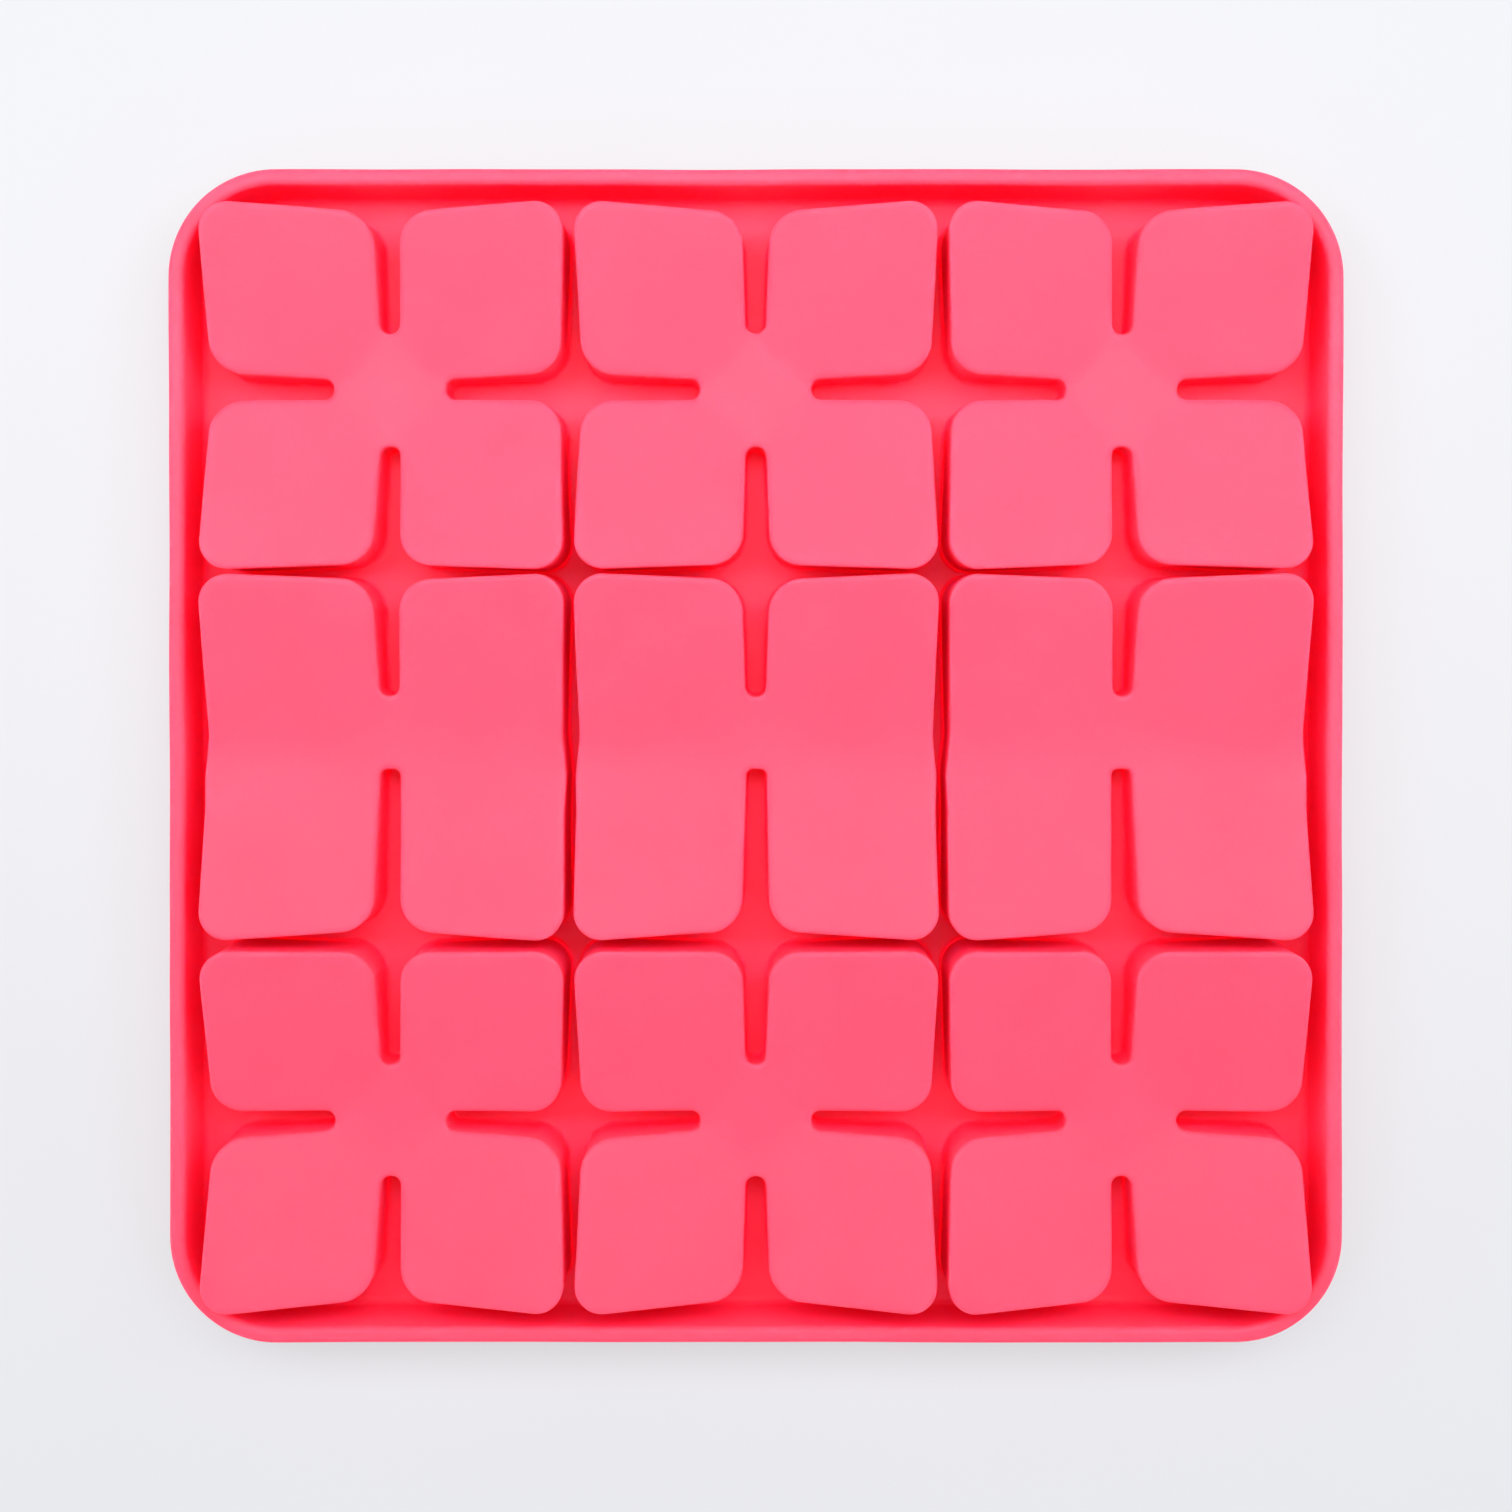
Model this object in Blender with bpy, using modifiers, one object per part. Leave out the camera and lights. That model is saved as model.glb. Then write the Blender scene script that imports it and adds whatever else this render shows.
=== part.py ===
"""Nine-cavity silicone soap mould, lying mouth down, as an assembly of its working parts.

Metres, +Z up. The origin is at the middle of the underside, on the surface that the mould lies on.
X runs to the right and Y to the back. The cavities open downwards, and the cups stand up from the deck.
"""

import math

import bmesh
import bpy

MM = 0.001

# Deck and rim
RIM_SPAN = 220.0 * MM
RIM_CORNER_RADIUS = 20.0 * MM
RIM_THICKNESS = 3.0 * MM
RIM_HEIGHT = 18.5 * MM
RIM_EDGE_RADIUS = 1.1 * MM
DECK_THICKNESS = 2.5 * MM
CORNER_STEPS = 8

# Cups
PITCH = 69.3 * MM
WALL_THICKNESS = 2.0 * MM
FLOOR_THICKNESS = 2.5 * MM
HUB_HEIGHT = 12.6 * MM
HUB_REACH = 10.56 * MM
PETAL_SLOPE = 0.23
CUP_CEILING = 40.0 * MM

# Petals, measured from the middle of a cup
SLOT_TIP = 10.56 * MM
SLOT_TIP_HALF = 1.9 * MM
SLOT_TIP_RADIUS = 1.82 * MM
SLOT_MOUTH_HALF = 2.6 * MM
SIDE_AT_SLOT = 32.6 * MM
SIDE_AT_CORNER = 33.8 * MM
PETAL_CORNER_RADIUS = 5.3 * MM
SLOT_MOUTH_RADIUS = 6.2 * MM

# Middle row: two slots only, and a shallow waist in each side
BACK_TIP = 11.0 * MM
FRONT_TIP = 2.6 * MM
FRONT_TIP_RADIUS = 1.3 * MM
WAIST = [(33.0 * MM, 4.0 * MM), (33.75 * MM, -3.5 * MM), (33.5 * MM, -10.0 * MM)]
WAIST_RADIUS = 3.0 * MM

# Neighbouring solids stand this far apart
GAP = 0.3 * MM

ROWS = {"back": 1, "middle": 0, "front": -1}
COLUMNS = {"left": -1, "centre": 0, "right": 1}

SILICONE = {
    "deck_web": (0.90, 0.045, 0.095),
    "rim_skirt": (0.97, 0.135, 0.235),
    "cup_wall": (0.94, 0.085, 0.160),
    "cup_floor": (0.98, 0.130, 0.230),
}


def clear_scene():
    for old in list(bpy.data.objects):
        bpy.data.objects.remove(old, do_unlink=True)
    for old in list(bpy.data.collections):
        bpy.data.collections.remove(old)


def new_collection(name):
    group = bpy.data.collections.new(name)
    bpy.context.scene.collection.children.link(group)
    return group


def silicone(name, kind):
    material = bpy.data.materials.new(name)
    material.use_nodes = True
    shader = material.node_tree.nodes["Principled BSDF"]
    shader.inputs["Base Color"].default_value = (*SILICONE[kind], 1.0)
    shader.inputs["Roughness"].default_value = 0.55
    shader.inputs["Metallic"].default_value = 0.0
    return material


def rounded(corners):
    """Points along a closed outline, given its corners as (x, y, radius, steps)."""
    points = []
    count = len(corners)
    for i, (x, y, radius, steps) in enumerate(corners):
        px, py = corners[i - 1][:2]
        nx, ny = corners[(i + 1) % count][:2]
        back = math.atan2(py - y, px - x)
        ahead = math.atan2(ny - y, nx - x)
        half = abs(math.remainder(ahead - back, math.tau)) / 2.0
        reach = radius / math.tan(half)
        start = (x + reach * math.cos(back), y + reach * math.sin(back))
        middle = back + math.remainder(ahead - back, math.tau) / 2.0
        to_centre = radius / math.sin(half)
        cx = x + to_centre * math.cos(middle)
        cy = y + to_centre * math.sin(middle)
        first = math.atan2(start[1] - cy, start[0] - cx)
        end = (x + reach * math.cos(ahead), y + reach * math.sin(ahead))
        last = math.atan2(end[1] - cy, end[0] - cx)
        sweep = math.remainder(last - first, math.tau)
        for k in range(steps + 1):
            turn = first + sweep * k / steps
            points.append((cx + radius * math.cos(turn), cy + radius * math.sin(turn)))
    return points


def inset(points, depth):
    """The outline moved inwards by depth. The points run anticlockwise."""
    moved = []
    count = len(points)
    for i, (x, y) in enumerate(points):
        px, py = points[i - 1]
        nx, ny = points[(i + 1) % count]
        ax, ay = x - px, y - py
        bx, by = nx - x, ny - y
        la, lb = math.hypot(ax, ay), math.hypot(bx, by)
        ux, uy = -ay / la - by / lb, ax / la + bx / lb
        scale = 2.0 * depth / (ux * ux + uy * uy)
        moved.append((x + ux * scale, y + uy * scale))
    return moved


def quarter_turns(corners):
    """Four copies of one quarter's corners, turned by right angles."""
    everything = []
    for quarter in range(4):
        for x, y, radius, steps in corners:
            for _ in range(quarter):
                x, y = -y, x
            everything.append((x, y, radius, steps))
    return everything


def flower_outline():
    """Four square petals round a hub, with a slot between each pair."""
    quarter = [
        (SLOT_TIP, SLOT_TIP_HALF, SLOT_TIP_RADIUS, 2),
        (SIDE_AT_SLOT, SLOT_MOUTH_HALF, SLOT_MOUTH_RADIUS, 4),
        (SIDE_AT_CORNER, SIDE_AT_CORNER, PETAL_CORNER_RADIUS, 4),
        (SLOT_MOUTH_HALF, SIDE_AT_SLOT, SLOT_MOUTH_RADIUS, 4),
        (SLOT_TIP_HALF, SLOT_TIP, SLOT_TIP_RADIUS, 2),
    ]
    return rounded(quarter_turns(quarter))


def paired_outline():
    """Petals joined in two upright pairs, with one slot from the back and a longer one from the front."""
    right = [
        (SLOT_TIP_HALF, -FRONT_TIP, FRONT_TIP_RADIUS, 2),
        (SLOT_MOUTH_HALF, -SIDE_AT_SLOT, SLOT_MOUTH_RADIUS, 4),
        (SIDE_AT_CORNER, -SIDE_AT_CORNER, PETAL_CORNER_RADIUS, 4),
    ]
    right += [(x, y, WAIST_RADIUS, 2) for x, y in reversed(WAIST)]
    right += [
        (SIDE_AT_CORNER, SIDE_AT_CORNER, PETAL_CORNER_RADIUS, 4),
        (SLOT_MOUTH_HALF, SIDE_AT_SLOT, SLOT_MOUTH_RADIUS, 4),
        (SLOT_TIP_HALF, BACK_TIP, SLOT_TIP_RADIUS, 2),
    ]
    left = [(-x, y, radius, steps) for x, y, radius, steps in reversed(right)]
    return rounded(right + left)


def square_outline(half, radius):
    corner = [(half, half, radius, CORNER_STEPS)]
    return rounded(quarter_turns(corner))


def prism(name, loops, bottom, top, group, centre=(0.0, 0.0)):
    """A flat outline, with its holes, given a thickness. Returns one closed mesh object."""
    flat = bpy.data.curves.new(name + "_outline", "CURVE")
    flat.dimensions = "2D"
    flat.fill_mode = "BOTH"
    flat.extrude = (top - bottom) / 2.0
    for loop in loops:
        line = flat.splines.new("POLY")
        line.points.add(len(loop) - 1)
        for point, (x, y) in zip(line.points, loop):
            point.co = (x, y, 0.0, 1.0)
        line.use_cyclic_u = True
    holder = bpy.data.objects.new(name + "_outline", flat)
    bpy.context.scene.collection.objects.link(holder)
    holder.location = (centre[0], centre[1], (top + bottom) / 2.0)
    bpy.context.view_layer.update()
    evaluated = holder.evaluated_get(bpy.context.evaluated_depsgraph_get())
    mesh = bpy.data.meshes.new_from_object(evaluated)
    mesh.name = name
    solid = bpy.data.objects.new(name, mesh)
    solid.matrix_world = holder.matrix_world.copy()
    group.objects.link(solid)
    bpy.data.objects.remove(holder, do_unlink=True)
    work = bmesh.new()
    work.from_mesh(mesh)
    bmesh.ops.remove_doubles(work, verts=work.verts, dist=1e-6)
    bmesh.ops.recalc_face_normals(work, faces=work.faces)
    work.to_mesh(mesh)
    work.free()
    return solid


def dish_cutter(name, base, centre, group):
    """A four-sided funnel: flat over the hub and rising outwards along both axes."""
    height = CUP_CEILING - base
    bpy.ops.mesh.primitive_cone_add(
        vertices=4,
        radius1=HUB_REACH,
        radius2=HUB_REACH + height / PETAL_SLOPE,
        depth=height,
        end_fill_type="NGON",
        location=(centre[0], centre[1], base + height / 2.0),
    )
    funnel = bpy.context.object
    funnel.name = name
    funnel.hide_render = True
    funnel.display_type = "WIRE"
    for owner in list(funnel.users_collection):
        owner.objects.unlink(funnel)
    group.objects.link(funnel)
    return funnel


def boolean(target, cutter, operation):
    step = target.modifiers.new(cutter.name, "BOOLEAN")
    step.solver = "EXACT"
    step.operation = operation
    step.object = cutter


def paint(thing, kind):
    thing.data.materials.clear()
    thing.data.materials.append(silicone(thing.name + "_silicone", kind))


def build_deck(cups, group):
    """The plate between the cups, with a hole at each cavity's mouth."""
    half = RIM_SPAN / 2.0 - RIM_THICKNESS - GAP
    loops = [square_outline(half, RIM_CORNER_RADIUS - RIM_THICKNESS - GAP)]
    for (cx, cy), outline in cups.values():
        mouth = inset(outline, WALL_THICKNESS)
        loops.append([(cx + x, cy + y) for x, y in mouth])
    deck = prism("deck_web", loops, 0.0, DECK_THICKNESS, group)
    paint(deck, "deck_web")


def build_rim(group):
    """The wall round the edge, with rounded edges except where it meets the deck."""
    outer = square_outline(RIM_SPAN / 2.0, RIM_CORNER_RADIUS)
    inner = square_outline(RIM_SPAN / 2.0 - RIM_THICKNESS, RIM_CORNER_RADIUS - RIM_THICKNESS)
    rim = prism("rim_skirt", [outer, inner], 0.0, RIM_HEIGHT, group)
    work = bmesh.new()
    work.from_mesh(rim.data)
    weight = work.edges.layers.float.new("bevel_weight_edge")
    for edge in work.edges:
        level = abs(edge.verts[0].co.z - edge.verts[1].co.z) < 1e-6
        turned = edge.calc_face_angle(0.0) > math.radians(60.0)
        if level and turned and edge.verts[0].co.z > 0.0:
            edge[weight] = 1.0
    work.to_mesh(rim.data)
    work.free()
    edges = rim.modifiers.new("rounded_edges", "BEVEL")
    edges.limit_method = "WEIGHT"
    edges.width = RIM_EDGE_RADIUS
    edges.segments = 2
    paint(rim, "rim_skirt")


def build_cup(place, centre, outline, group, cutters):
    """One cup: the wall that follows its outline, and the dished floor that fits inside it."""
    upper = dish_cutter("dish_top_" + place, HUB_HEIGHT, centre, cutters)
    lower = dish_cutter("dish_under_" + place, HUB_HEIGHT - FLOOR_THICKNESS, centre, cutters)
    inner = inset(outline, WALL_THICKNESS)
    foot = DECK_THICKNESS + GAP
    tall = CUP_CEILING - 2.0 * MM
    wall = prism("cup_wall_" + place, [outline, inner], foot, tall, group, centre)
    boolean(wall, upper, "DIFFERENCE")
    paint(wall, "cup_wall")
    panel = inset(outline, WALL_THICKNESS + GAP)
    floor = prism("cup_floor_" + place, [panel], foot, tall, group, centre)
    boolean(floor, upper, "DIFFERENCE")
    boolean(floor, lower, "INTERSECT")
    paint(floor, "cup_floor")


def build():
    clear_scene()
    group = new_collection("soap_mould")
    cutters = new_collection("cutters")
    flower = flower_outline()
    paired = paired_outline()
    cups = {}
    for row, up in ROWS.items():
        for column, across in COLUMNS.items():
            outline = paired if row == "middle" else flower
            cups[row + "_" + column] = ((across * PITCH, up * PITCH), outline)
    build_deck(cups, group)
    build_rim(group)
    for place, (centre, outline) in cups.items():
        build_cup(place, centre, outline, group, cutters)


build()
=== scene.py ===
import math

import bmesh
import bpy
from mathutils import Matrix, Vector, noise
from mathutils.geometry import delaunay_2d_cdt
from mathutils.kdtree import KDTree


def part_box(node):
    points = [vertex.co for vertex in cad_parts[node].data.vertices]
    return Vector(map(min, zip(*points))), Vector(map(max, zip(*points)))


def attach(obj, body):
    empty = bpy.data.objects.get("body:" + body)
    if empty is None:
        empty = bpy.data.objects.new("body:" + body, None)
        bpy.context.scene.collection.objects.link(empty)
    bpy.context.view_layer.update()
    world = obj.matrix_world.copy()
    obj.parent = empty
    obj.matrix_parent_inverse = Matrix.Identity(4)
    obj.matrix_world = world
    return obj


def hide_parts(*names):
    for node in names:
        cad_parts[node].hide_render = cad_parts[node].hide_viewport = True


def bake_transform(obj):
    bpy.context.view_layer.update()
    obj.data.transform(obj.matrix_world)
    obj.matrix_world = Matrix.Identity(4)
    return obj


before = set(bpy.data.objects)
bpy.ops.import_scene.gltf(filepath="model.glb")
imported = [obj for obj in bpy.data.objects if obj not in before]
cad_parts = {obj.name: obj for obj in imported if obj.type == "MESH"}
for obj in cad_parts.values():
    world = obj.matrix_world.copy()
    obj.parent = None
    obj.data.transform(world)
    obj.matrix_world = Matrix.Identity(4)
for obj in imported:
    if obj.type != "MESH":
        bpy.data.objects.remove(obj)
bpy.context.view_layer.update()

# A silicone soap mould lying mouth down: one moulding, shown as a base and nine cups that press in.
# Metres, +Z up, +X right, +Y back.

MM = 0.001

# Sizes of the moulding
WALL = 2.0 * MM
FLOOR_THICKNESS = 2.5 * MM
HUB_HEIGHT = 12.6 * MM
HUB_REACH = 10.56 * MM
PETAL_SLOPE = 0.23
CREASE_SOFTNESS = 1.6 * MM
PAIRED_CREASE_SOFTNESS = 4.0 * MM
CUP_EDGE_WIDTH = 1.3 * MM
CUP_EDGE_DROP = 0.7 * MM
CUP_INNER_FILLET = 1.2 * MM
FOOT_FILLET = 0.85 * MM
MOUTH_RADIUS = 0.9 * MM
RIM_THICKNESS = 3.0 * MM
RIM_CORNER_RADIUS = 20.0 * MM
RIM_EDGE_RADIUS = 1.15 * MM
RIM_FOOT_FILLET = 1.6 * MM

# Each cup stands this far clear of the base, at a flat seam at the top of the fillet round its foot
SEAM_GAP = 0.02 * MM

# The most of the gap between two walls that the fillet at each foot may take
FILLET_SHARE = 0.42

# Petals, measured from the middle of a cup
SLOT_TIP = 10.56 * MM
SLOT_TIP_HALF = 1.9 * MM
SLOT_TIP_RADIUS = 1.82 * MM
SLOT_MOUTH_HALF = 2.6 * MM
SIDE_AT_SLOT = 32.6 * MM
SIDE_AT_CORNER = 33.8 * MM
PETAL_CORNER_RADIUS = 5.3 * MM
SLOT_MOUTH_RADIUS = 6.2 * MM
BACK_TIP = 11.0 * MM
FRONT_TIP = 2.6 * MM
FRONT_TIP_RADIUS = 1.3 * MM
WAIST = [(33.0 * MM, 4.0 * MM), (33.75 * MM, -3.5 * MM), (33.5 * MM, -10.0 * MM)]
WAIST_RADIUS = 3.0 * MM

# Inside the underside of every hub, whose middle the longer front slot of a paired cup cuts
HUB_MIDDLE = 4.2 * MM

# How much longer the front half and the back half of a cup are in each row
ROW_REACH = {"back": (0.018, 0.0), "middle": (0.0, 0.018), "front": (0.0, 0.0)}

# How far off a facing surface still deepens the colour with painted shade
PAINTED_SHADE_REACH = 20.0 * MM

# How far soft walls stray from true, how many waves a metre, and a fixed seed for the same result each run
SETTLE = 0.16 * MM
SETTLE_WAVES = 45.0
SETTLE_SEED = 3

# Fineness of the meshes
OUTLINE_STEP = 1.0 * MM
DISH_STEP = 1.1 * MM
DECK_STEP = 2.2 * MM
CLOSEST_POINTS = 0.15 * MM
MERGE_DISTANCE = 0.0001 * MM
SHARP_ANGLE = 50.0

# Colours
PINK = (1.0, 0.066, 0.128)
CLOUDY_PINK = (1.0, 0.059, 0.117)
# Painted shade: the deeper red mixed into the base colour where ambient occlusion finds facing surfaces
GROOVE_PAINTED_SHADE = (0.90, 0.012, 0.085)
# Painted glow: a faint red emission in the grooves, standing in for light passed through the silicone
GROOVE_PAINTED_GLOW = (1.0, 0.0, 0.012)
# Painted glow on the hidden seam faces between a cup and the base
CORE_PINK = (1.0, 0.05, 0.11)
CORE_PAINTED_GLOW = (1.0, 0.035, 0.08)
TABLE_DARK = (0.134, 0.136, 0.140)
TABLE_PALE = (0.140, 0.142, 0.146)
TABLE_GLOW = (0.96, 0.965, 1.0)
SKY_COLOUR = (0.96, 0.97, 1.0)
SOFTBOX_COLOUR = (1.0, 0.995, 0.99)

# How light spreads inside the silicone, and how rough its skin is
SCATTER_DEPTH = 5.0 * MM
SCATTER_BY_COLOUR = (1.0, 0.08, 0.11)
GRAIN_DEPTH = 0.06 * MM

BODY = "mould_body"
PLACES = [row + "_" + column for row in ("back", "middle", "front") for column in ("left", "centre", "right")]


# ---------------------------------------------------------------- camera and light

CAMERA_HEIGHT = 452.5 * MM
CAMERA_BACK = 24.0 * MM
LENS = 55.24
SENSOR = 36.0
CAMERA_TILT = -0.0053
FRAME_SHIFT = -0.0761

# The sky is brighter to the left and right than to the front and back
SKY_STRENGTH = 1.06
SKY_FROM_SIDES = 1.0

SOFTBOX_PLACE = (0.0, 0.17, 0.50)
SOFTBOX_AIM = (0.0, 0.11, 0.0)
SOFTBOX_SIZE = (0.9, 0.2)
SOFTBOX_POWER = 2.4
SOFTBOX_SPREAD = 110.0

TABLE_SIZE = 6.0
TABLE_DROP = 0.3 * MM


def place_camera():
    view = bpy.data.cameras.new("camera")
    view.lens = LENS
    view.sensor_width = SENSOR
    view.shift_y = FRAME_SHIFT
    view.clip_start = 0.01
    view.clip_end = 20.0
    camera = bpy.data.objects.new("camera", view)
    camera.location = (0.0, CAMERA_BACK, CAMERA_HEIGHT)
    camera.rotation_euler = (CAMERA_TILT, 0.0, 0.0)
    bpy.context.scene.collection.objects.link(camera)
    bpy.context.scene.camera = camera


def hang_softbox():
    lamp = bpy.data.lights.new("overhead_softbox", "AREA")
    lamp.shape = "RECTANGLE"
    lamp.size, lamp.size_y = SOFTBOX_SIZE
    lamp.energy = SOFTBOX_POWER
    lamp.spread = math.radians(SOFTBOX_SPREAD)
    lamp.color = SOFTBOX_COLOUR
    box = bpy.data.objects.new("overhead_softbox", lamp)
    box.location = SOFTBOX_PLACE
    box.rotation_euler = (Vector(SOFTBOX_AIM) - Vector(SOFTBOX_PLACE)).to_track_quat("-Z", "Y").to_euler()
    bpy.context.scene.collection.objects.link(box)


def light_studio():
    world = bpy.data.worlds.new("studio")
    world.use_nodes = True
    tree = world.node_tree
    sky = tree.nodes["Background"]
    sky.inputs["Color"].default_value = (*SKY_COLOUR, 1.0)
    direction = node(tree, "ShaderNodeTexCoord").outputs["Generated"]
    heading = node(tree, "ShaderNodeSeparateXYZ", {0: direction})
    sideways = calc(tree, "MULTIPLY", heading.outputs["X"], heading.outputs["X"])
    lengthways = calc(tree, "MULTIPLY", heading.outputs["Y"], heading.outputs["Y"])
    lean = calc(tree, "SUBTRACT", sideways, lengthways)
    strength = calc(tree, "MULTIPLY_ADD", lean, SKY_STRENGTH * SKY_FROM_SIDES, SKY_STRENGTH)
    tree.links.new(strength, sky.inputs["Strength"])
    bpy.context.scene.world = world
    hang_softbox()
    bpy.context.scene.view_settings.view_transform = "Standard"


# ---------------------------------------------------------------- node helpers


def node(tree, kind, inputs=None, **settings):
    """One node. Each input is a value, or another node's output socket."""
    new = tree.nodes.new(kind)
    for key, value in settings.items():
        setattr(new, key, value)
    for key, value in (inputs or {}).items():
        if isinstance(value, bpy.types.NodeSocket):
            tree.links.new(value, new.inputs[key])
        else:
            new.inputs[key].default_value = value
    return new


def calc(tree, operation, *terms, clamp=False):
    """The output of one Math node."""
    step = node(tree, "ShaderNodeMath", dict(enumerate(terms)), operation=operation, use_clamp=clamp)
    return step.outputs[0]


def mottle(tree, place, scale, detail):
    """A noise texture over the surface, with its scale in waves a metre."""
    inputs = {"Vector": place, "Scale": scale, "Detail": detail}
    return node(tree, "ShaderNodeTexNoise", inputs).outputs["Fac"]


def two_colours(tree, share, low, dark, high, pale):
    """A ramp from one colour to another."""
    ramp = node(tree, "ShaderNodeValToRGB", {"Fac": share})
    for stop, position, colour in zip(ramp.color_ramp.elements, (low, high), (dark, pale)):
        stop.position = position
        stop.color = (*colour, 1.0)
    return ramp.outputs["Color"]


# ---------------------------------------------------------------- silicone


def silicone():
    """Matte silicone: faint cloudiness, a fine grain, painted shade (a deeper red) where surfaces face each
    other, and a faint painted red glow there.
    """
    material = bpy.data.materials.new("pink_silicone")
    material.use_nodes = True
    tree = material.node_tree
    shader = tree.nodes["Principled BSDF"]
    place = node(tree, "ShaderNodeTexCoord").outputs["Object"]
    cloud = mottle(tree, place, 60.0, 3.0)
    speckle = mottle(tree, place, 900.0, 2.0)
    grain = mottle(tree, place, 3200.0, 2.0)
    mixed = calc(tree, "ADD", calc(tree, "MULTIPLY", cloud, 0.65), calc(tree, "MULTIPLY", speckle, 0.35))
    open_colour = two_colours(tree, mixed, 0.30, CLOUDY_PINK, 0.70, PINK)
    # Painted shade: ambient occlusion mixes a deeper red into the base colour in grooves and hollows
    openness = node(tree, "ShaderNodeAmbientOcclusion", {"Distance": PAINTED_SHADE_REACH}, samples=3).outputs["AO"]
    unshaded_share = node(
        tree,
        "ShaderNodeMapRange",
        {"Value": openness, "From Min": 0.06, "From Max": 0.32},
        interpolation_type="SMOOTHSTEP",
    ).outputs["Result"]
    shaded_base_colour = node(
        tree,
        "ShaderNodeMix",
        {"Factor": unshaded_share, 6: (*GROOVE_PAINTED_SHADE, 1.0), 7: open_colour},
        data_type="RGBA",
    ).outputs[2]
    tree.links.new(shaded_base_colour, shader.inputs["Base Color"])
    rough = calc(tree, "MULTIPLY_ADD", speckle, 0.10, 0.47)
    tree.links.new(rough, shader.inputs["Roughness"])
    bump = node(tree, "ShaderNodeBump", {"Height": grain, "Strength": 0.12, "Distance": GRAIN_DEPTH})
    tree.links.new(bump.outputs["Normal"], shader.inputs["Normal"])
    shader.inputs["Specular IOR Level"].default_value = 0.15
    shader.inputs["Subsurface Weight"].default_value = 1.0
    shader.inputs["Subsurface Radius"].default_value = SCATTER_BY_COLOUR
    shader.inputs["Subsurface Scale"].default_value = SCATTER_DEPTH
    # Painted glow: a faint red emission where the painted shade falls
    hidden = calc(tree, "SUBTRACT", 1.0, unshaded_share)
    tree.links.new(calc(tree, "MULTIPLY", hidden, 0.03), shader.inputs["Emission Strength"])
    shader.inputs["Emission Color"].default_value = (*GROOVE_PAINTED_GLOW, 1.0)
    return material


def silicone_core_painted_glow():
    """For the hidden faces where a cup meets the base: a painted red glow that stands in for the light one
    moulding passes on.
    """
    material = bpy.data.materials.new("silicone_core_painted_glow")
    material.use_nodes = True
    shader = material.node_tree.nodes["Principled BSDF"]
    shader.inputs["Base Color"].default_value = (*CORE_PINK, 1.0)
    shader.inputs["Roughness"].default_value = 0.6
    shader.inputs["Emission Color"].default_value = (*CORE_PAINTED_GLOW, 1.0)
    shader.inputs["Emission Strength"].default_value = 0.42
    return material


def floor_material():
    material = bpy.data.materials.new("pale_table")
    material.use_nodes = True
    tree = material.node_tree
    shader = tree.nodes["Principled BSDF"]
    place = node(tree, "ShaderNodeTexCoord").outputs["Object"]
    surface = two_colours(tree, mottle(tree, place, 9.0, 4.0), 0.3, TABLE_DARK, 0.7, TABLE_PALE)
    tree.links.new(surface, shader.inputs["Base Color"])
    shader.inputs["Roughness"].default_value = 0.8
    shader.inputs["Specular IOR Level"].default_value = 0.2
    shader.inputs["Emission Color"].default_value = (*TABLE_GLOW, 1.0)
    shader.inputs["Emission Strength"].default_value = 0.60
    return material


def lay_table():
    bpy.ops.mesh.primitive_plane_add(size=TABLE_SIZE, location=(0.0, 0.0, -TABLE_DROP))
    table = bpy.context.object
    table.name = "table"
    table.data.materials.append(floor_material())


# ---------------------------------------------------------------- outlines


def rounded(corners, step):
    """Points along a closed outline, no more than step apart, given its corners as (x, y, radius)."""
    bends = []
    count = len(corners)
    for i, (x, y, radius) in enumerate(corners):
        px, py = corners[i - 1][:2]
        nx, ny = corners[(i + 1) % count][:2]
        back = math.atan2(py - y, px - x)
        ahead = math.atan2(ny - y, nx - x)
        spread = math.remainder(ahead - back, math.tau)
        half = abs(spread) / 2.0
        reach = radius / math.tan(half)
        to_centre = radius / math.sin(half)
        cx = x + to_centre * math.cos(back + spread / 2.0)
        cy = y + to_centre * math.sin(back + spread / 2.0)
        first = math.atan2(y + reach * math.sin(back) - cy, x + reach * math.cos(back) - cx)
        last = math.atan2(y + reach * math.sin(ahead) - cy, x + reach * math.cos(ahead) - cx)
        sweep = math.remainder(last - first, math.tau)
        pieces = max(3, math.ceil(abs(sweep) * radius / (0.7 * step)), math.ceil(abs(sweep) / 0.26))
        turns = [first + sweep * k / pieces for k in range(pieces + 1)]
        bends.append([(cx + radius * math.cos(t), cy + radius * math.sin(t)) for t in turns])
    points = []
    for i, bend in enumerate(bends):
        points += bend
        ax, ay = bend[-1]
        bx, by = bends[(i + 1) % count][0]
        pieces = max(1, math.ceil(math.hypot(bx - ax, by - ay) / step))
        points += [(ax + (bx - ax) * k / pieces, ay + (by - ay) * k / pieces) for k in range(1, pieces)]
    tidy = []
    for point in points:
        if not tidy or math.dist(point, tidy[-1]) > CLOSEST_POINTS:
            tidy.append(point)
    if math.dist(tidy[0], tidy[-1]) < CLOSEST_POINTS:
        tidy.pop()
    return tidy


def quarter_turns(corners):
    """The corners of a quarter of an outline, repeated for all four quarters."""
    everything = []
    for quarter in range(4):
        for x, y, radius in corners:
            for _ in range(quarter):
                x, y = -y, x
            everything.append((x, y, radius))
    return everything


def flower_corners():
    """Four square petals round a hub, with a slot between each pair."""
    return quarter_turns(
        [
            (SLOT_TIP, SLOT_TIP_HALF, SLOT_TIP_RADIUS),
            (SIDE_AT_SLOT, SLOT_MOUTH_HALF, SLOT_MOUTH_RADIUS),
            (SIDE_AT_CORNER, SIDE_AT_CORNER, PETAL_CORNER_RADIUS),
            (SLOT_MOUTH_HALF, SIDE_AT_SLOT, SLOT_MOUTH_RADIUS),
            (SLOT_TIP_HALF, SLOT_TIP, SLOT_TIP_RADIUS),
        ]
    )


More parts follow.
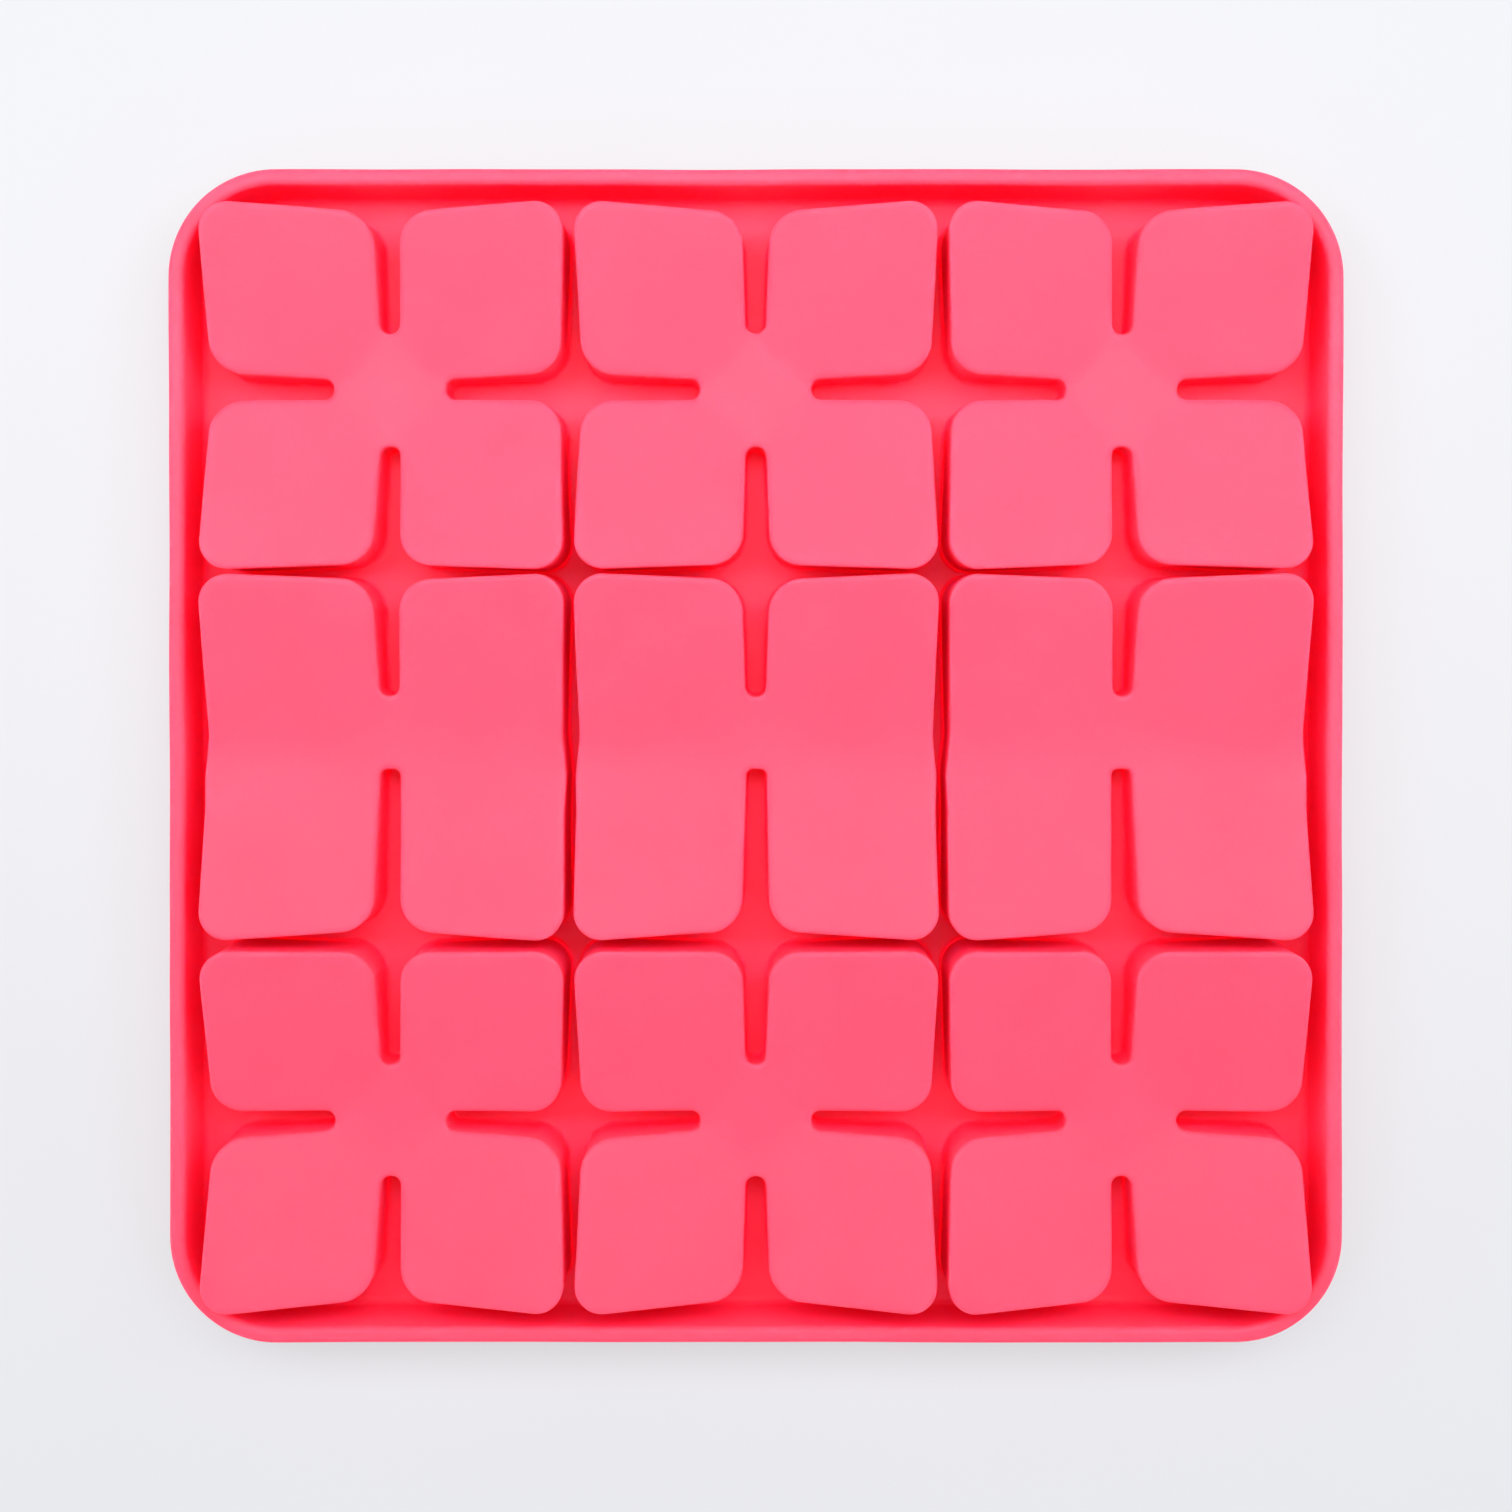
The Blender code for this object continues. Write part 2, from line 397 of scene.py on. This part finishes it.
def paired_corners():
    """Petals joined in two upright pairs, with a slot from the back and a longer one from the front."""
    right = [
        (SLOT_TIP_HALF, -FRONT_TIP, FRONT_TIP_RADIUS),
        (SLOT_MOUTH_HALF, -SIDE_AT_SLOT, SLOT_MOUTH_RADIUS),
        (SIDE_AT_CORNER, -SIDE_AT_CORNER, PETAL_CORNER_RADIUS),
    ]
    right += [(x, y, WAIST_RADIUS) for x, y in reversed(WAIST)]
    right += [
        (SIDE_AT_CORNER, SIDE_AT_CORNER, PETAL_CORNER_RADIUS),
        (SLOT_MOUTH_HALF, SIDE_AT_SLOT, SLOT_MOUTH_RADIUS),
        (SLOT_TIP_HALF, BACK_TIP, SLOT_TIP_RADIUS),
    ]
    return right + [(-x, y, radius) for x, y, radius in reversed(right)]


def lengthened(points, to_front, to_back):
    """The points with the front half and the back half of the cup made longer by these shares."""
    return [(x, y * (1.0 + (to_back if y > 0.0 else to_front))) for x, y in points]


def settled(points):
    """Soft silicone is never quite true: each point moves a little, smoothly along the outline."""
    moved = []
    for x, y in points:
        drift = noise.noise_vector(Vector((x * SETTLE_WAVES, y * SETTLE_WAVES, 3.7))) * SETTLE
        moved.append((x + drift.x, y + drift.y))
    return moved


def outward(points):
    """The outward direction at each point of an anticlockwise outline."""
    sides = []
    count = len(points)
    for i in range(count):
        px, py = points[i - 1]
        nx, ny = points[(i + 1) % count]
        length = math.hypot(nx - px, ny - py)
        sides.append(((ny - py) / length, (px - nx) / length))
    return sides


def cup_centre(place):
    """The middle of a cup, from its wall in the frame."""
    low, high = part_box("cup_wall_" + place)
    return ((low[0] + high[0]) / 2.0, (low[1] + high[1]) / 2.0)


# ---------------------------------------------------------------- sections swept along outlines


def arc(cx, cz, radius, start, end, steps):
    """Points (inset, level) on an arc, with the angles in degrees."""
    points = []
    for k in range(steps + 1):
        turn = math.radians(start + (end - start) * k / steps)
        points.append((cx + radius * math.cos(turn), cz + radius * math.sin(turn)))
    return points


def run(a, b, steps):
    """Points between a and b, without its ends."""
    (ax, ay), (bx, by) = a, b
    return [(ax + (bx - ax) * k / steps, ay + (by - ay) * k / steps) for k in range(1, steps)]


def chain(name, rows, closed, marks):
    """A line of edges, with named values at its points, for the section tree to read."""
    mesh = bpy.data.meshes.new(name)
    edges = [(i, i + 1) for i in range(len(rows) - 1)]
    if closed:
        edges.append((len(rows) - 1, 0))
    mesh.from_pydata(rows, edges, [])
    for mark, (kind, values) in marks.items():
        layer = mesh.attributes.new(mark, kind, "POINT")
        field = "vector" if kind == "FLOAT_VECTOR" else "value"
        flat = [part for value in values for part in value] if kind == "FLOAT_VECTOR" else values
        layer.data.foreach_set(field, flat)
    line = bpy.data.objects.new(name, mesh)
    bpy.context.scene.collection.objects.link(line)
    return line


def outline_line(name, points, room):
    sides = outward(points)
    rows = [(x, y, 0.0) for x, y in points]
    marks = {
        "base": ("FLOAT_VECTOR", rows),
        "side": ("FLOAT_VECTOR", [(x, y, 0.0) for x, y in sides]),
        "room": ("FLOAT", room),
    }
    return chain(name, rows, True, marks)


def section_line(name, points):
    marks = {"inset": ("FLOAT", [p[0] for p in points]), "level": ("FLOAT", [p[1] for p in points])}
    return chain(name, [(p[0], p[1], 0.0) for p in points], False, marks)


def section_tree():
    """Sweeps a section along an outline, and raises it with the dished petals."""
    tree = bpy.data.node_groups.new("moulded_section", "GeometryNodeTree")
    face = tree.interface
    face.new_socket("Geometry", in_out="INPUT", socket_type="NodeSocketGeometry")
    face.new_socket("Section", in_out="INPUT", socket_type="NodeSocketObject")
    face.new_socket("Centre", in_out="INPUT", socket_type="NodeSocketVector")
    for name in ("Hub Reach", "Petal Slope", "Crease Softness", "Raise From", "Raise To"):
        face.new_socket(name, in_out="INPUT", socket_type="NodeSocketFloat")
    face.new_socket("Material", in_out="INPUT", socket_type="NodeSocketMaterial")
    face.new_socket("Geometry", in_out="OUTPUT", socket_type="NodeSocketGeometry")
    given = node(tree, "NodeGroupInput").outputs

    def mark(name, kind="FLOAT"):
        stored = node(tree, "GeometryNodeInputNamedAttribute", {"Name": name}, data_type=kind)
        return stored.outputs["Attribute"]

    path = node(tree, "GeometryNodeMeshToCurve", {"Mesh": given["Geometry"]}).outputs["Curve"]
    shape = node(tree, "GeometryNodeObjectInfo", {"Object": given["Section"]}).outputs["Geometry"]
    section = node(tree, "GeometryNodeMeshToCurve", {"Mesh": shape}).outputs["Curve"]
    swept = node(tree, "GeometryNodeCurveToMesh", {"Curve": path, "Profile Curve": section}).outputs["Mesh"]

    inset = mark("inset")
    inwards = calc(tree, "MAXIMUM", inset, 0.0)
    flare = calc(tree, "MULTIPLY", calc(tree, "MINIMUM", inset, 0.0), mark("room"))
    reach = calc(tree, "MULTIPLY", calc(tree, "ADD", inwards, flare), -1.0)
    offset = node(
        tree,
        "ShaderNodeVectorMath",
        {0: mark("side", "FLOAT_VECTOR"), "Scale": reach},
        operation="SCALE",
    ).outputs[0]
    spot = node(
        tree, "ShaderNodeVectorMath", {0: mark("base", "FLOAT_VECTOR"), 1: offset}, operation="ADD"
    ).outputs[0]
    local = node(
        tree, "ShaderNodeVectorMath", {0: spot, 1: given["Centre"]}, operation="SUBTRACT"
    ).outputs[0]
    across = node(tree, "ShaderNodeSeparateXYZ", {0: local}).outputs
    soft = calc(tree, "MULTIPLY", given["Crease Softness"], given["Crease Softness"])

    def soft_size(value, squared=soft):
        return calc(tree, "SQRT", calc(tree, "MULTIPLY_ADD", value, value, squared))

    away = calc(tree, "ADD", soft_size(across["X"]), soft_size(across["Y"]))
    beyond = calc(tree, "SUBTRACT", away, given["Hub Reach"])
    ramp = calc(tree, "MULTIPLY", calc(tree, "ADD", beyond, soft_size(beyond)), 0.5)
    rise = calc(tree, "MULTIPLY", ramp, given["Petal Slope"])
    level = mark("level")
    span = calc(tree, "SUBTRACT", given["Raise To"], given["Raise From"])
    share = calc(tree, "DIVIDE", calc(tree, "SUBTRACT", level, given["Raise From"]), span, clamp=True)
    height = calc(tree, "MULTIPLY_ADD", share, rise, level)
    where = node(tree, "ShaderNodeSeparateXYZ", {0: spot}).outputs
    position = node(tree, "ShaderNodeCombineXYZ", {"X": where["X"], "Y": where["Y"], "Z": height}).outputs[0]
    shaped = node(tree, "GeometryNodeSetPosition", {"Geometry": swept, "Position": position}).outputs[0]
    real = node(tree, "GeometryNodeRealizeInstances", {"Geometry": shaped}).outputs[0]
    skin = node(
        tree, "GeometryNodeSetMaterial", {"Geometry": real, "Material": given["Material"]}
    ).outputs[0]
    node(tree, "NodeGroupOutput", {"Geometry": skin})
    return tree


def sweep(tree, line, section, centre, slope, crease, raise_from, raise_to, material):
    """Runs the section tree on an outline and returns the plain mesh. The guide line is removed."""
    step = line.modifiers.new("moulded_section", "NODES")
    step.node_group = tree
    values = {
        "Section": section,
        "Centre": (centre[0], centre[1], 0.0),
        "Hub Reach": HUB_REACH,
        "Petal Slope": slope,
        "Crease Softness": crease,
        "Raise From": raise_from,
        "Raise To": raise_to,
        "Material": material,
    }
    for socket in tree.interface.items_tree:
        if socket.in_out == "INPUT" and socket.name in values:
            step[socket.identifier] = values[socket.name]
    bpy.context.view_layer.update()
    evaluated = line.evaluated_get(bpy.context.evaluated_depsgraph_get())
    mesh = bpy.data.meshes.new_from_object(evaluated)
    line.modifiers.remove(step)
    bpy.data.objects.remove(line, do_unlink=True)
    return mesh


def dish(x, y, crease):
    """How far the petals stand above the hub at a point measured from the cup's middle."""
    soft = crease * crease
    beyond = math.sqrt(x * x + soft) + math.sqrt(y * y + soft) - HUB_REACH
    return PETAL_SLOPE * 0.5 * (beyond + math.sqrt(beyond * beyond + soft))


# ---------------------------------------------------------------- faces across an outline


def open_edges(work, keep):
    """The edges with a face on one side only, where both ends pass the test."""
    return [e for e in work.edges if len(e.link_faces) == 1 and all(keep(v.co) for v in e.verts)]


def fill_across(work, edges, step, seed, height):
    """Fills the region round seed, up to the given edges, with small triangles at the given height."""
    rim = sorted({v for e in edges for v in e.verts}, key=lambda v: v.index)
    number = {v: i for i, v in enumerate(rim)}
    flat = [v.co.xy.copy() for v in rim]
    near = KDTree(len(flat))
    for i, p in enumerate(flat):
        near.insert((p.x, p.y, 0.0), i)
    near.balance()
    low = (min(p.x for p in flat), min(p.y for p in flat))
    high = (max(p.x for p in flat), max(p.y for p in flat))
    columns = int((high[0] - low[0]) / step)
    rows = int((high[1] - low[1]) / step)
    points = list(flat)
    for i in range(1, columns + 1):
        for j in range(1, rows + 1):
            x = low[0] + (high[0] - low[0]) * (i + 0.5 * (j % 2) - 0.25) / (columns + 1)
            y = low[1] + (high[1] - low[1]) * j / (rows + 1)
            if near.find((x, y, 0.0))[2] > 0.55 * step:
                points.append(Vector((x, y)))
    lines = [(number[e.verts[0]], number[e.verts[1]]) for e in edges]
    spots, borders, faces, origin, border_origin, _ = delaunay_2d_cdt(points, lines, [], 0, 1e-9)
    back = {source: i for i, sources in enumerate(origin) for source in sources}
    walls = {frozenset(ends) for ends, sources in zip(borders, border_origin) if sources}
    beside = {}
    for i, face in enumerate(faces):
        for k in range(3):
            beside.setdefault(frozenset((face[k], face[k - 1])), []).append(i)

    def from_seed(i):
        middle = sum((spots[spot] for spot in faces[i]), Vector((0, 0))) / 3
        return (middle - seed).length

    start = min(range(len(faces)), key=from_seed)
    inside, waiting = {start}, [start]
    while waiting:
        face = faces[waiting.pop()]
        for k in range(3):
            edge = frozenset((face[k], face[k - 1]))
            if edge in walls:
                continue
            for other in beside[edge]:
                if other not in inside:
                    inside.add(other)
                    waiting.append(other)
    made = {back[i]: v for v, i in number.items()}
    for i in sorted(inside):
        corners = []
        for spot in faces[i]:
            if spot not in made:
                x, y = spots[spot]
                made[spot] = work.verts.new((x, y, height(x, y)))
            corners.append(made[spot])
        work.faces.new(corners)


def finished(name, work, materials, seam):
    """A smooth closed piece from the mesh being worked on. Its hidden seam faces get the second material, the
    painted glow.
    """
    bmesh.ops.remove_doubles(work, verts=work.verts, dist=MERGE_DISTANCE)
    bmesh.ops.recalc_face_normals(work, faces=work.faces)
    for face in work.faces:
        if all(abs(v.co.z - seam) < SEAM_GAP / 4.0 for v in face.verts):
            face.material_index = 1
    mesh = bpy.data.meshes.new(name)
    for material in materials:
        mesh.materials.append(material)
    work.to_mesh(mesh)
    work.free()
    for mark in ("base", "side", "room", "inset", "level"):
        if mark in mesh.attributes:
            mesh.attributes.remove(mesh.attributes[mark])
    mesh.shade_smooth()
    mesh.set_sharp_from_angle(angle=math.radians(SHARP_ANGLE))
    piece = bpy.data.objects.new(name, mesh)
    bpy.context.scene.collection.objects.link(piece)
    return piece


# ---------------------------------------------------------------- the moulding


def clearances(outlines):
    """For each point of each outline, the distance to the nearest other outline."""
    total = sum(len(points) for points in outlines.values())
    gaps = {}
    for name, points in outlines.items():
        others = KDTree(total - len(points))
        for other, spots in outlines.items():
            if other != name:
                for x, y in spots:
                    others.insert((x, y, 0.0), 0)
        others.balance()
        gaps[name] = [others.find((x, y, 0.0))[2] for x, y in points]
    return gaps


def draw_outlines():
    """The outlines of the nine cups and of the inside of the rim."""
    noise.seed_set(SETTLE_SEED)
    outlines = {}
    for place in PLACES:
        cx, cy = cup_centre(place)
        corners = paired_corners() if place.startswith("middle") else flower_corners()
        points = lengthened(rounded(corners, OUTLINE_STEP), *ROW_REACH[place.split("_")[0]])
        outlines[place] = settled([(cx + x, cy + y) for x, y in points])
    low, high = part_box("rim_skirt")
    half = (high[0] - low[0]) / 2.0 - RIM_THICKNESS
    radius = RIM_CORNER_RADIUS - RIM_THICKNESS
    inner = rounded(quarter_turns([(half, half, radius)]), 1.4 * OUTLINE_STEP)
    outlines["rim"] = settled(inner)
    return outlines


def join_mesh(work, mesh):
    work.from_mesh(mesh)
    bpy.data.meshes.remove(mesh)


def mould_base(tree, outlines, gaps, seam, materials):
    """The deck with a low collar at each cup, the mouths of the cavities, and the standing rim."""
    deck_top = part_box("deck_web")[1][2]
    rim_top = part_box("rim_skirt")[1][2]
    material = materials[0]
    work = bmesh.new()
    collar = (
        arc(-FOOT_FILLET, deck_top + FOOT_FILLET, FOOT_FILLET, 270, 360, 4)
        + [(WALL, seam)]
        + arc(WALL - MOUTH_RADIUS, MOUTH_RADIUS, MOUTH_RADIUS, 0, -90, 4)
    )
    section = section_line("collar_section", collar)
    for place in PLACES:
        room = [min(1.0, FILLET_SHARE * gap / FOOT_FILLET) for gap in gaps[place]]
        line = outline_line("collar_" + place, outlines[place], room)
        join_mesh(work, sweep(tree, line, section, (0.0, 0.0), 0.0, 0.0, 0.0, 1.0, material))
    bpy.data.objects.remove(section, do_unlink=True)
    e, f, t = RIM_EDGE_RADIUS, RIM_FOOT_FILLET, RIM_THICKNESS
    rim = (
        arc(-f, deck_top + f, f, 270, 360, 6)
        + run((0.0, deck_top + f), (0.0, rim_top - e), 8)
        + arc(e, rim_top - e, e, 180, 90, 6)
        + run((e, rim_top), (t - e, rim_top), 2)
        + arc(t - e, rim_top - e, e, 90, 0, 6)
        + run((t, rim_top - e), (t, e), 10)
        + arc(t - e, e, e, 0, -90, 6)
    )
    section = section_line("rim_section", rim)
    room = [min(1.0, FILLET_SHARE * gap / RIM_FOOT_FILLET) for gap in reversed(gaps["rim"])]
    line = outline_line("rim", outlines["rim"][::-1], room)
    join_mesh(work, sweep(tree, line, section, (0.0, 0.0), 0.0, 0.0, 0.0, 1.0, material))
    bpy.data.objects.remove(section, do_unlink=True)
    work.verts.index_update()
    low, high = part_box("cup_wall_back_right")
    crossing = Vector((low[0] - 0.9 * MM, low[1] - 0.9 * MM))
    upper = open_edges(work, lambda co: co.z > deck_top / 2.0)
    lower = open_edges(work, lambda co: co.z < deck_top / 2.0)
    fill_across(work, upper, DECK_STEP, crossing, lambda x, y: deck_top)
    fill_across(work, lower, DECK_STEP, crossing, lambda x, y: 0.0)
    base = finished("mould_base", work, materials, seam)
    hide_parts("deck_web", "rim_skirt")
    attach(base, BODY)


def cup(tree, place, outline, seam, materials):
    """One cup: its wall, the rounded edge, and the dished panel that is pressed to free the soap."""
    cx, cy = cup_centre(place)
    crease = PAIRED_CREASE_SOFTNESS if place.startswith("middle") else CREASE_SOFTNESS
    e, f = CUP_EDGE_WIDTH, CUP_INNER_FILLET
    flatter = CUP_EDGE_DROP / CUP_EDGE_WIDTH
    under = HUB_HEIGHT - FLOOR_THICKNESS
    raise_to = under - f
    skin = (
        [(x, HUB_HEIGHT + flatter * z) for x, z in arc(e, -e, e, 90, 180, 8)]
        + run((0.0, HUB_HEIGHT - CUP_EDGE_DROP), (0.0, seam), 8)
        + [(0.0, seam)]
        + run((0.0, seam), (WALL, seam), 3)
        + [(WALL, seam)]
        + run((WALL, seam), (WALL, raise_to), 6)
        + arc(WALL + f, raise_to, f, 180, 90, 4)
    )
    section = section_line("cup_section", skin)
    line = outline_line("cup_line_" + place, outline, [1.0] * len(outline))
    mesh = sweep(tree, line, section, (cx, cy), PETAL_SLOPE, crease, seam, raise_to, materials[0])
    bpy.data.objects.remove(section, do_unlink=True)
    work = bmesh.new()
    join_mesh(work, mesh)
    work.verts.index_update()
    split = (HUB_HEIGHT + under) / 2.0

    def raised(x, y):
        return dish(x - cx, y - cy, crease)

    def above(co):
        return co.z - raised(co.x, co.y) > split

    hub = Vector((cx, cy + HUB_MIDDLE))
    for keep, level, step in (
        (above, HUB_HEIGHT, DISH_STEP),
        (lambda co: not above(co), under, 1.6 * DISH_STEP),
    ):
        fill_across(work, open_edges(work, keep), step, hub, lambda x, y: level + raised(x, y))
    piece = finished("cup_" + place, work, materials, seam)
    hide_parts("cup_wall_" + place, "cup_floor_" + place)
    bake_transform(piece)


def build():
    place_camera()
    light_studio()
    lay_table()
    tree = section_tree()
    materials = [silicone(), silicone_core_painted_glow()]
    outlines = draw_outlines()
    gaps = clearances(outlines)
    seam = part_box("deck_web")[1][2] + FOOT_FILLET
    mould_base(tree, outlines, gaps, seam, materials)
    for place in PLACES:
        cup(tree, place, outlines[place], seam + SEAM_GAP, materials)


build()
